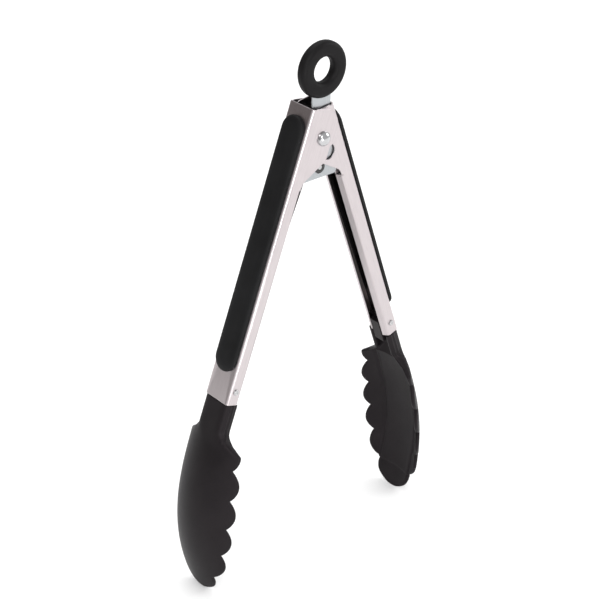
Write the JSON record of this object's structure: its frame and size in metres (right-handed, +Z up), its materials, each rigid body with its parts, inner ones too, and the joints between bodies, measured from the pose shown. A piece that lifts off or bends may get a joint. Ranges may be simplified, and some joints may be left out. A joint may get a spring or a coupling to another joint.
{
  "type": "spring loaded kitchen tongs",
  "caption": "Spring loaded kitchen tongs: two folded steel arms with soft grips, scalloped scoop heads, a riveted hinge and a pull-ring lock.",
  "frame": {"origin": "on the surface the two tips stand on, midway between them", "axes": "+Z up through the hinge and the pull ring, +Y along the hinge axis away from the lock plate, arms spread along X with the outer-eared arm at -X"},
  "size_m": [0.1454, 0.0412, 0.2669],
  "materials": {
    "brushed_stainless": "finely brushed stainless sheet, grain along the arm, soft satin shine",
    "soft_grip": "black soft-touch rubber, fine matt texture",
    "grip_liner_plastic": "black moulded plastic, satin",
    "head_nylon": "black moulded nylon with a fine spark-eroded grain",
    "rivet_steel": "polished stainless steel",
    "spring_steel": "drawn spring wire, dull shine",
    "lock_plate_steel": "plain rolled stainless sheet, cool satin",
    "spacer_nylon": "black nylon",
    "ring_plastic": "black moulded plastic, smooth matt"
  },
  "bodies": {
    "left_arm": {"left_arm": "brushed_stainless", "left_grip": "soft_grip", "left_grip_liner": "grip_liner_plastic", "left_head": "head_nylon", "left_head_rivet_near": "rivet_steel", "left_head_rivet_far": "rivet_steel", "pivot_rivet": "rivet_steel", "pivot_washer": "rivet_steel", "spring_spacer": "spacer_nylon", "torsion_spring": "spring_steel"},
    "right_arm": {"right_arm": "brushed_stainless", "right_grip": "soft_grip", "right_grip_liner": "grip_liner_plastic", "right_head": "head_nylon", "right_head_rivet_near": "rivet_steel", "right_head_rivet_far": "rivet_steel"},
    "lock_carrier": {"pivot_bush": "spring_steel"},
    "lock_slider": {"lock_plate": "lock_plate_steel", "lock_bush": "spacer_nylon", "lock_pin": "rivet_steel", "pull_ring": "ring_plastic"}
  },
  "joints": [
    {"name": "arm_pivot", "type": "hinge", "parent": "left_arm", "child": "right_arm", "pos_m": [0, 0, 0.22186], "axis": [0, 1, 0], "range_deg": [0, 31.5], "stiffness_Nm_per_rad": 0.5, "springref_deg": -17.19, "deforming": ["torsion_spring"]},
    {"name": "lock_turn", "type": "hinge", "parent": "left_arm", "child": "lock_carrier", "pos_m": [0, 0, 0.22186], "axis": [0, 1, 0], "range_deg": [0, 15.75]},
    {"name": "ring_pull", "type": "slide", "parent": "lock_carrier", "child": "lock_slider", "axis": [0, 0, 1], "range_m": [-0.003, 0]}
  ],
  "couplings": [
    {"joint": "lock_turn", "follows": "arm_pivot", "ratio": 0.5}
  ]
}
